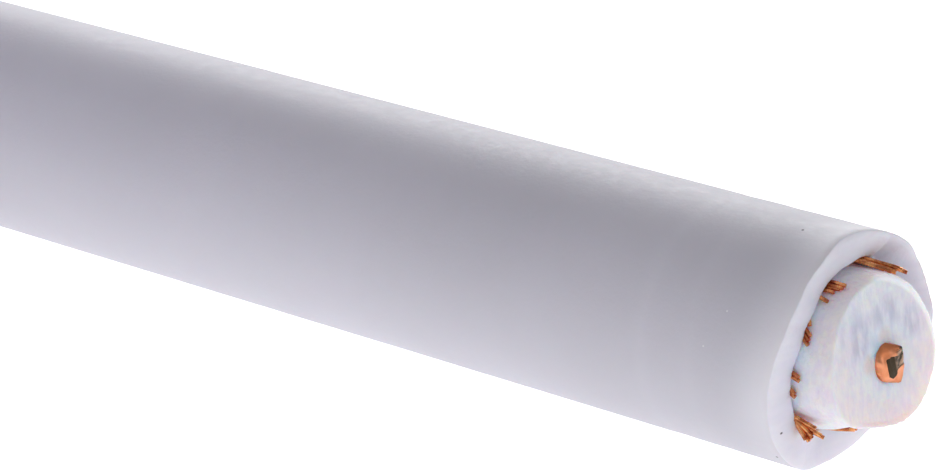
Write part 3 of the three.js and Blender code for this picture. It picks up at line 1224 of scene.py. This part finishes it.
@dataclass
class NodeBench:
    """A material being built: its nodes, its shader and its object coordinates."""

    name: str
    material: bpy.types.Material = field(init=False)
    shader: bpy.types.Node = field(init=False)
    place: bpy.types.NodeSocket = field(init=False)

    def __post_init__(self) -> None:
        """Make the material with its shader and coordinates."""
        self.material = bpy.data.materials.new(self.name)
        self.material.use_nodes = True
        nodes = self.material.node_tree.nodes
        self.shader = next(n for n in nodes if n.type == "BSDF_PRINCIPLED")
        self.place = nodes.new("ShaderNodeTexCoord").outputs["Object"]

    def node(self, kind: str, **values: object) -> bpy.types.Node:
        """Add a node and set its properties.

        Args:
            kind: The node's type.
            values: Properties of the node.

        Returns:
            The new node.
        """
        made = self.material.node_tree.nodes.new(kind)
        for key, value in values.items():
            setattr(made, key, value)
        return made

    def link(self, source: bpy.types.NodeSocket, target: bpy.types.NodeSocket) -> None:
        """Join two sockets."""
        self.material.node_tree.links.new(source, target)

    def effect(self, tree: bpy.types.NodeTree, place: bpy.types.NodeSocket, **values: float) -> bpy.types.NodeSocket:
        """Place a shared effect and set its inputs.

        Args:
            tree: The effect's node group.
            place: Coordinates that it is read at.
            values: Its inputs, with underscores for spaces.

        Returns:
            The effect's output.
        """
        made = self.node("ShaderNodeGroup", node_tree=tree)
        self.link(place, made.inputs["Vector"])
        for key, value in values.items():
            made.inputs[key.replace("_", " ")].default_value = value
        return made.outputs[0]

    def noise(self, scale: float, detail: float, stretch: Sequence[float] = (1, 1, 1)) -> bpy.types.NodeSocket:
        """A noise pattern, stretched along the axes.

        Args:
            scale: Its scale, in cycles to the metre.
            detail: Its detail.
            stretch: Scale along each axis.

        Returns:
            The pattern, from 0 to 1.
        """
        mapping = self.node("ShaderNodeMapping")
        mapping.inputs["Scale"].default_value = stretch
        pattern = self.node("ShaderNodeTexNoise")
        pattern.inputs["Scale"].default_value = scale
        pattern.inputs["Detail"].default_value = detail
        self.link(self.place, mapping.inputs["Vector"])
        self.link(mapping.outputs["Vector"], pattern.inputs["Vector"])
        return pattern.outputs["Fac"]

    def attribute(self, name: str) -> bpy.types.NodeSocket:
        """Read a number that the mesh holds for each vertex."""
        return self.node("ShaderNodeAttribute", attribute_name=name).outputs["Fac"]

    def spot(self, centre: Vector, radii: Sequence[float], soft: float = 0.5) -> bpy.types.NodeSocket:
        """A mask that is 1 in an ellipsoid and fades out over its rim.

        Args:
            centre: Its centre.
            radii: Its radius along each axis.
            soft: The share of the radius over which it fades.

        Returns:
            The mask.
        """
        off = self.node("ShaderNodeVectorMath", operation="SUBTRACT")
        off.inputs[1].default_value = centre
        share = self.node("ShaderNodeVectorMath", operation="DIVIDE")
        share.inputs[1].default_value = radii
        length = self.node("ShaderNodeVectorMath", operation="LENGTH")
        self.link(self.place, off.inputs[0])
        self.link(off.outputs["Vector"], share.inputs[0])
        self.link(share.outputs["Vector"], length.inputs[0])
        return self.range(length.outputs["Value"], 1.0, 0.0, (1 - soft, 1.0))

    def blend(self, mask: bpy.types.NodeSocket, value: bpy.types.NodeSocket, to: float) -> bpy.types.NodeSocket:
        """Go from a value to a number by a mask."""
        made = self.node("ShaderNodeMix")
        made.inputs["B"].default_value = to
        self.link(mask, made.inputs["Factor"])
        self.link(value, made.inputs["A"])
        return made.outputs["Result"]

    def times(self, first: bpy.types.NodeSocket, second: bpy.types.NodeSocket | float) -> bpy.types.NodeSocket:
        """Multiply a value by another value or by a number."""
        made = self.node("ShaderNodeMath", operation="MULTIPLY")
        self.link(first, made.inputs[0])
        if isinstance(second, float):
            made.inputs[1].default_value = second
        else:
            self.link(second, made.inputs[1])
        return made.outputs["Value"]

    def range(self, value: bpy.types.NodeSocket, low: float, high: float, span: tuple[float, float] = (0.3, 0.7)) -> bpy.types.NodeSocket:
        """Spread a value's middle span over a range."""
        made = self.node("ShaderNodeMapRange")
        made.inputs["From Min"].default_value, made.inputs["From Max"].default_value = span
        made.inputs["To Min"].default_value = low
        made.inputs["To Max"].default_value = high
        self.link(value, made.inputs["Value"])
        return made.outputs["Result"]

    def tint(self, mask: bpy.types.NodeSocket, low: Sequence[float], high: Sequence[float]) -> bpy.types.NodeSocket:
        """Mix two colours by a mask."""
        made = self.node("ShaderNodeMix", data_type="RGBA")
        made.inputs["A"].default_value = (*low, 1.0)
        made.inputs["B"].default_value = (*high, 1.0)
        self.link(mask, made.inputs["Factor"])
        return made.outputs["Result"]

    def over(self, mask: bpy.types.NodeSocket, under: bpy.types.NodeSocket, colour: Sequence[float]) -> bpy.types.NodeSocket:
        """Lay a colour over another by a mask."""
        made = self.node("ShaderNodeMix", data_type="RGBA")
        made.inputs["B"].default_value = (*colour, 1.0)
        self.link(mask, made.inputs["Factor"])
        self.link(under, made.inputs["A"])
        return made.outputs["Result"]

    def bump(self, height: bpy.types.NodeSocket, depth: float, under: bpy.types.NodeSocket | None = None) -> bpy.types.NodeSocket:
        """A bump of a real depth, on top of another if there is one."""
        made = self.node("ShaderNodeBump")
        made.inputs["Strength"].default_value = 1.0
        made.inputs["Distance"].default_value = depth
        self.link(height, made.inputs["Height"])
        if under is not None:
            self.link(under, made.inputs["Normal"])
        return made.outputs["Normal"]

    def set(self, **values: object) -> None:
        """Set plain numbers and colours on the shader's own sockets."""
        for key, value in values.items():
            self.shader.inputs[key.replace("_", " ")].default_value = value


@dataclass(frozen=True)
class JacketSkin:
    """White PVC with a lavender cast, satin and finely grained, paler towards the cut, partly stress whitening and
    partly painted light, with painted glints there.
    """

    end: EndFrame
    light: tuple[float, float, float] = (0.70, 0.687, 0.752)
    dark: tuple[float, float, float] = (0.665, 0.652, 0.712)
    whitened_and_lit: tuple[float, float, float] = (0.90, 0.89, 0.95)
    glint: tuple[float, float, float] = (1.0, 1.0, 1.0)
    dirt: tuple[float, float, float] = (0.06, 0.05, 0.06)

    def make(self, effects: Effects) -> bpy.types.Material:
        """Build the material."""
        bench = NodeBench("jacket_skin")
        cloud = bench.range(bench.noise(160.0, 3.0), 0.0, 1.0)
        colour = bench.tint(cloud, self.dark, self.light)
        # Paler towards the cut: partly stress whitening, partly painted light.
        colour = bench.over(bench.attribute("pale_and_lit"), colour, self.whitened_and_lit)
        # Painted glints: rare white specks near the cut.
        glints = bench.effect(effects.specks, bench.place, Scale=5500.0, Size=0.16, Rarity=0.93)
        centre = self.end.point(-1.8 * MM, 3.5 * MM, 286)
        near = bench.spot(centre, (3.2 * MM, 2.5 * MM, 2.2 * MM), 0.8)
        colour = bench.over(bench.times(bench.times(glints, near), 0.8), colour, self.glint)
        for clock, reach, size in ((349.6, -1.33, 0.05), (222.7, -0.69, 0.05)):
            centre = self.end.point(reach * MM, 3.5 * MM, clock)
            colour = bench.over(bench.spot(centre, (size * MM,) * 3), colour, self.dirt)
        bench.link(colour, bench.shader.inputs["Base Color"])
        grain = bench.effect(effects.grain, bench.place, Coarse_Scale=2600.0, Fine_Scale=8000.0, Fine_Share=0.5)
        bench.link(bench.range(grain, 0.50, 0.64), bench.shader.inputs["Roughness"])
        bench.link(bench.bump(grain, 0.012 * MM), bench.shader.inputs["Normal"])
        bench.set(IOR=1.5, Specular_IOR_Level=0.4, Subsurface_Weight=0.12, Subsurface_Scale=0.6 * MM)
        return bench.material


@dataclass(frozen=True)
class JacketCut:
    """The jacket's cut face: the same plastic, sliced and paler, with painted shade towards the strands."""

    end: EndFrame
    light: tuple[float, float, float] = (0.90, 0.895, 0.985)
    streak: tuple[float, float, float] = (0.84, 0.835, 0.945)
    # Colour of the painted shade on the cut face.
    dull_and_shade: tuple[float, float, float] = (0.40, 0.39, 0.42)
    dirt: tuple[float, float, float] = (0.06, 0.05, 0.06)

    def make(self, effects: Effects) -> bpy.types.Material:
        """Build the material."""
        bench = NodeBench("jacket_cut_face")
        streaks = bench.noise(700.0, 3.0, (1.0, 1.0, 3.5))
        colour = bench.tint(bench.range(streaks, 0, 1), self.streak, self.light)
        # Painted shade towards the inner edge, by the shade written on the mesh.
        colour = bench.over(bench.attribute("dull_and_shade"), colour, self.dull_and_shade)
        centre = self.end.point(-0.2 * MM, 3.165 * MM, 237.5)
        colour = bench.over(bench.spot(centre, (0.3 * MM, 0.08 * MM, 0.045 * MM)), colour, self.dirt)
        bench.link(colour, bench.shader.inputs["Base Color"])
        grain = bench.effect(effects.grain, bench.place, Coarse_Scale=1800.0, Fine_Scale=7000.0, Fine_Share=0.5)
        bench.link(bench.range(grain, 0.5, 0.7), bench.shader.inputs["Roughness"])
        bench.link(bench.bump(grain, 0.03 * MM), bench.shader.inputs["Normal"])
        bench.set(IOR=1.5, Subsurface_Weight=0.25, Subsurface_Scale=0.6 * MM)
        return bench.material


@dataclass(frozen=True)
class FoamedDielectric:
    """Frosted translucent plastic, fibrous where it was sliced, with grey scuffs, a painted reflection of the copper,
    a painted highlight on its soft edge and a faint painted glow.

    The painted glow is an emission, as a share of white, that stands for light coming out of the foam from inside.
    """

    end: EndFrame
    light: tuple[float, float, float] = (0.92, 0.915, 1.0)
    dark: tuple[float, float, float] = (0.83, 0.825, 0.95)
    scuff: tuple[float, float, float] = (0.55, 0.56, 0.70)
    # Colour of the painted highlight on the soft edge.
    edge: tuple[float, float, float] = (0.97, 0.97, 1.0)
    # Colour of the painted reflection of the copper.
    glow: tuple[float, float, float] = (0.86, 0.58, 0.52)
    painted_glow: float = 0.04

    def at(self, across: float, up: float) -> Vector:
        """A place on the free end's face, in millimetres from its middle."""
        return self.end.matrix @ (Vector((1.18 - 0.15 * up, across, up)) * MM)

    def make(self, effects: Effects) -> bpy.types.Material:
        """Build the material."""
        bench = NodeBench("dielectric_plastic")
        fibres = bench.noise(5200.0, 4.0, (1.0, 1.0, 0.4))
        colour = bench.tint(bench.range(fibres, 0, 1, (0.35, 0.65)), self.dark, self.light)
        streaks = bench.range(bench.noise(4200.0, 3.0, (1.0, 1.0, 0.25)), 0.25, 1.0, (0.38, 0.6))
        for across, up, wide, high in ((-1.15, 0.95, 1.0, 0.95), (1.3, 0.95, 0.7, 0.7), (0.2, 1.4, 0.9, 0.6)):
            patch = bench.spot(self.at(across, up), (0.6 * MM, wide * MM, high * MM), 0.6)
            colour = bench.over(bench.times(bench.times(patch, streaks), 0.7), colour, self.scuff)
        # Painted reflection of the core on the face round it.
        for across, up, size, amount in ((0.0, 0.0, 0.95, 0.25), (-0.72, 0.1, 0.36, 0.5), (0.05, 0.72, 0.36, 0.45)):
            patch = bench.spot(self.at(across, up), (0.6 * MM, size * MM, size * MM), 0.6)
            colour = bench.over(bench.times(patch, amount), colour, self.glow)
        # Painted reflection of the braid's wires on the rod's side.
        for clock, reach in ((236.0, 0.0), (300.0, 0.0), (335.0, 0.2), (20.0, 0.3)):
            patch = bench.spot(self.end.point(reach * MM, 2.3 * MM, clock), (0.6 * MM,) * 3, 0.8)
            colour = bench.over(bench.times(patch, 0.2), colour, self.glow)
        # Painted highlight on the soft edge, where the light catches it.
        pale_and_lit = bench.attribute("pale_and_lit")
        colour = bench.over(pale_and_lit, colour, self.edge)
        bench.link(colour, bench.shader.inputs["Base Color"])
        grain = bench.effect(effects.grain, bench.place, Coarse_Scale=2600.0, Fine_Scale=9000.0, Fine_Share=0.5)
        bench.link(bench.blend(pale_and_lit, bench.range(grain, 0.3, 0.5), 0.14), bench.shader.inputs["Roughness"])
        first = bench.bump(fibres, 0.05 * MM)
        bench.link(bench.bump(grain, 0.03 * MM, first), bench.shader.inputs["Normal"])
        # Painted glow: faint all over, stronger on the highlighted edge.
        bench.link(bench.range(pale_and_lit, self.painted_glow, 0.22), bench.shader.inputs["Emission Strength"])
        bench.set(
            IOR=1.5, Subsurface_Weight=0.9, Subsurface_Scale=1.4 * MM, Emission_Color=(0.82, 0.84, 1.0, 1.0),
        )
        return bench.material


@dataclass(frozen=True)
class BareCopper:
    """Bare copper, from bright orange to a darker brown at random, with painted shade where the mesh says so."""

    name: str
    bright: tuple[float, float, float]
    dull_and_shade: tuple[float, float, float]
    roughness: tuple[float, float]
    scale: float = 1500.0
    painted_shade: float = 0.0

    def make(self, effects: Effects) -> bpy.types.Material:
        """Build the material."""
        bench = NodeBench(self.name)
        patches = bench.range(bench.noise(self.scale, 3.0), 0, 1, (0.4, 0.62))
        colour = bench.tint(patches, self.dull_and_shade, self.bright)
        # Painted shade where the mesh says so, by the share given.
        colour = bench.over(bench.times(bench.attribute("dull_and_shade"), self.painted_shade), colour, self.dull_and_shade)
        bench.link(colour, bench.shader.inputs["Base Color"])
        grain = bench.effect(effects.grain, bench.place, Coarse_Scale=4000.0, Fine_Scale=12000.0, Fine_Share=0.5)
        bench.link(bench.range(grain, *self.roughness), bench.shader.inputs["Roughness"])
        bench.link(bench.bump(grain, 0.006 * MM), bench.shader.inputs["Normal"])
        bench.set(Metallic=1.0)
        return bench.material


@dataclass(frozen=True)
class NaturalNylon:
    """Natural nylon: milky, a little warm and half glossy."""

    light: tuple[float, float, float] = (0.80, 0.78, 0.70)
    dark: tuple[float, float, float] = (0.74, 0.72, 0.63)

    def make(self, effects: Effects) -> bpy.types.Material:
        """Build the material."""
        bench = NodeBench("natural_nylon")
        cloud = bench.range(bench.noise(260.0, 2.0), 0, 1)
        bench.link(bench.tint(cloud, self.dark, self.light), bench.shader.inputs["Base Color"])
        grain = bench.effect(effects.grain, bench.place, Coarse_Scale=800.0, Fine_Scale=3800.0, Fine_Share=0.5)
        bench.link(bench.range(grain, 0.3, 0.42), bench.shader.inputs["Roughness"])
        bench.link(bench.bump(grain, 0.012 * MM), bench.shader.inputs["Normal"])
        bench.set(IOR=1.53, Subsurface_Weight=0.3, Subsurface_Scale=1.5 * MM)
        return bench.material


@dataclass(frozen=True)
class PaleFloor:
    """A white table so evenly lit that it glows a little, and that is plain white to the camera."""

    colour: tuple[float, float, float] = (0.55, 0.55, 0.56)
    glow: float = 0.72
    white: float = 0.4

    def make(self) -> bpy.types.Material:
        """Build the material."""
        bench = NodeBench("pale_floor")
        cloud = bench.range(bench.noise(3.0, 2.0), 0.86, 0.92)
        bench.link(cloud, bench.shader.inputs["Roughness"])
        seen = bench.node("ShaderNodeLightPath").outputs["Is Camera Ray"]
        strength = bench.node("ShaderNodeMath", operation="MULTIPLY_ADD")
        strength.inputs[1].default_value = self.white
        strength.inputs[2].default_value = self.glow
        bench.link(seen, strength.inputs[0])
        bench.link(strength.outputs["Value"], bench.shader.inputs["Emission Strength"])
        bench.set(
            Base_Color=(*self.colour, 1.0), Emission_Color=(1.0, 1.0, 1.0, 1.0), Specular_IOR_Level=0.1,
        )
        return bench.material


@dataclass
class Finishes:
    """All materials of the scene."""

    end: EndFrame
    effects: Effects = field(init=False)
    skin: bpy.types.Material = field(init=False)
    cut_face: bpy.types.Material = field(init=False)
    dielectric: bpy.types.Material = field(init=False)
    core: bpy.types.Material = field(init=False)
    shaded_core: bpy.types.Material = field(init=False)
    strand: bpy.types.Material = field(init=False)
    nylon: bpy.types.Material = field(init=False)
    floor: bpy.types.Material = field(init=False)

    def __post_init__(self) -> None:
        """Build every finish once."""
        self.effects = Effects()
        self.skin = JacketSkin(self.end).make(self.effects)
        self.cut_face = JacketCut(self.end).make(self.effects)
        self.dielectric = FoamedDielectric(self.end).make(self.effects)
        self.core = BareCopper("core_copper", (1.0, 0.43, 0.24), (0.78, 0.27, 0.12), (0.28, 0.45)).make(self.effects)
        # The hollow's copper: a copy in painted shade, darkest along its edges.
        self.shaded_core = BareCopper(
            "shaded_copper", (0.78, 0.52, 0.38), (0.07, 0.05, 0.03), (0.4, 0.6), 2600.0, 1.0
        ).make(self.effects)
        self.strand = BareCopper(
            "strand_copper", (1.0, 0.47, 0.19), (0.52, 0.17, 0.07), (0.2, 0.38), 4200.0
        ).make(self.effects)
        self.nylon = NaturalNylon().make(self.effects)
        self.floor = PaleFloor().make()


# Studio


@dataclass
class Studio:
    """Camera, lights, floor and surroundings."""

    sizes: CableSizes
    distance: float = 133.5 * MM
    azimuth: float = 52.56
    elevation: float = 19.33
    aim_back: float = 14.2 * MM
    aim_up: float = 0.26 * MM
    lens: float = 183.9
    sensor: float = 36.0

    def camera(self) -> bpy.types.Object:
        """The camera, at the picture's viewing angle: level, close and through a long lens."""
        data = bpy.data.cameras.new("camera")
        data.lens = self.lens
        data.sensor_width = self.sensor
        data.clip_start = 5 * MM
        data.clip_end = 20.0
        camera = bpy.data.objects.new("camera", data)
        round_z, up = math.radians(self.azimuth), math.radians(self.elevation)
        away = Vector((math.cos(round_z) * math.cos(up), -math.sin(round_z) * math.cos(up), math.sin(up)))
        camera.location = self.sizes.cut + away * self.distance
        aim = self.sizes.cut + Vector((-self.aim_back, 0, self.aim_up))
        camera.rotation_euler = (aim - camera.location).to_track_quat("-Z", "Y").to_euler()
        bpy.context.scene.collection.objects.link(camera)
        bpy.context.scene.camera = camera
        return camera

    def softbox(self, name: str, at: Vector, size: tuple[float, float], power: float, colour: Sequence[float]) -> None:
        """A rectangular soft light that faces the cut end.

        Args:
            name: Name of the light.
            at: Its place, from the cut end.
            size: Its width and height.
            power: Its power in watts.
            colour: Its colour.
        """
        data = bpy.data.lights.new(name, "AREA")
        data.shape = "RECTANGLE"
        data.size, data.size_y = size
        data.energy = power
        data.color = colour
        light = bpy.data.objects.new(name, data)
        light.location = self.sizes.cut + at
        light.rotation_euler = (-at).to_track_quat("-Z", "Y").to_euler()
        bpy.context.scene.collection.objects.link(light)

    def lights(self) -> None:
        """A little light from the right, more from low behind for the top edge, and a small glint."""
        self.softbox("right_softbox", Vector((0.7, 0.1, 0.3)), (0.5, 0.5), 0.58, (1.0, 0.99, 0.98))
        self.softbox("back_softbox", Vector((-0.63, 0.83, 0.52)), (0.7, 0.5), 7.2, (1.0, 1.0, 1.0))
        self.softbox("glint_light", Vector((-0.1, -0.8, 0.45)), (0.06, 0.06), 0.5, (1.0, 0.94, 0.84))

    def surroundings(self) -> None:
        """A dim even room for the light, and white where the camera sees past the floor."""
        world = bpy.data.worlds.new("room")
        world.use_nodes = True
        nodes, links = world.node_tree.nodes, world.node_tree.links
        room = nodes["Background"]
        room.inputs["Color"].default_value = (0.97, 0.97, 1.0, 1.0)
        room.inputs["Strength"].default_value = 0.34
        white = nodes.new("ShaderNodeBackground")
        white.inputs["Color"].default_value = (1.0, 1.0, 1.0, 1.0)
        white.inputs["Strength"].default_value = 1.1
        path = nodes.new("ShaderNodeLightPath")
        mix = nodes.new("ShaderNodeMixShader")
        links.new(path.outputs["Is Camera Ray"], mix.inputs["Fac"])
        links.new(room.outputs["Background"], mix.inputs[1])
        links.new(white.outputs["Background"], mix.inputs[2])
        links.new(mix.outputs["Shader"], nodes["World Output"].inputs["Surface"])
        bpy.context.scene.world = world

    def floor(self, finish: bpy.types.Material) -> None:
        """A wide plain floor at z = 0."""
        shape = bmesh.new()
        bmesh.ops.create_grid(shape, x_segments=1, y_segments=1, size=3.0)
        floor = placed("floor", mesh_of(shape, smooth=False), (finish,))

    def build(self, finish: bpy.types.Material) -> None:
        """Build the lights, the surroundings and the floor.

        Args:
            finish: The floor's material.
        """
        self.lights()
        self.surroundings()
        self.floor(finish)
        scene = bpy.context.scene
        scene.view_settings.view_transform = "Standard"
        scene.view_settings.look = "None"


def report(pieces: Sequence[bpy.types.Object]) -> None:
    """Log each piece with its size in faces."""
    for piece in pieces:
        log.info("%s: %d faces", piece.name, len(piece.data.polygons))


def main() -> None:
    """Build the scene: camera, cable, ties and studio, in that order."""
    logging.basicConfig(level=logging.INFO, format="%(message)s")
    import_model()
    sizes = CableSizes.read()
    studio = Studio(sizes)
    studio.camera()
    cable = Cable(sizes)
    finishes = Finishes(cable.free_end.end)
    report(cable.build(finishes))
    for node, angle in (("tie_1", 105.0), ("tie_2", 225.0), ("tie_3", 345.0)):
        report([CableTie(node, angle, sizes).build(finishes.nylon)])
    studio.build(finishes.floor)


if __name__ == "__main__":
    main()
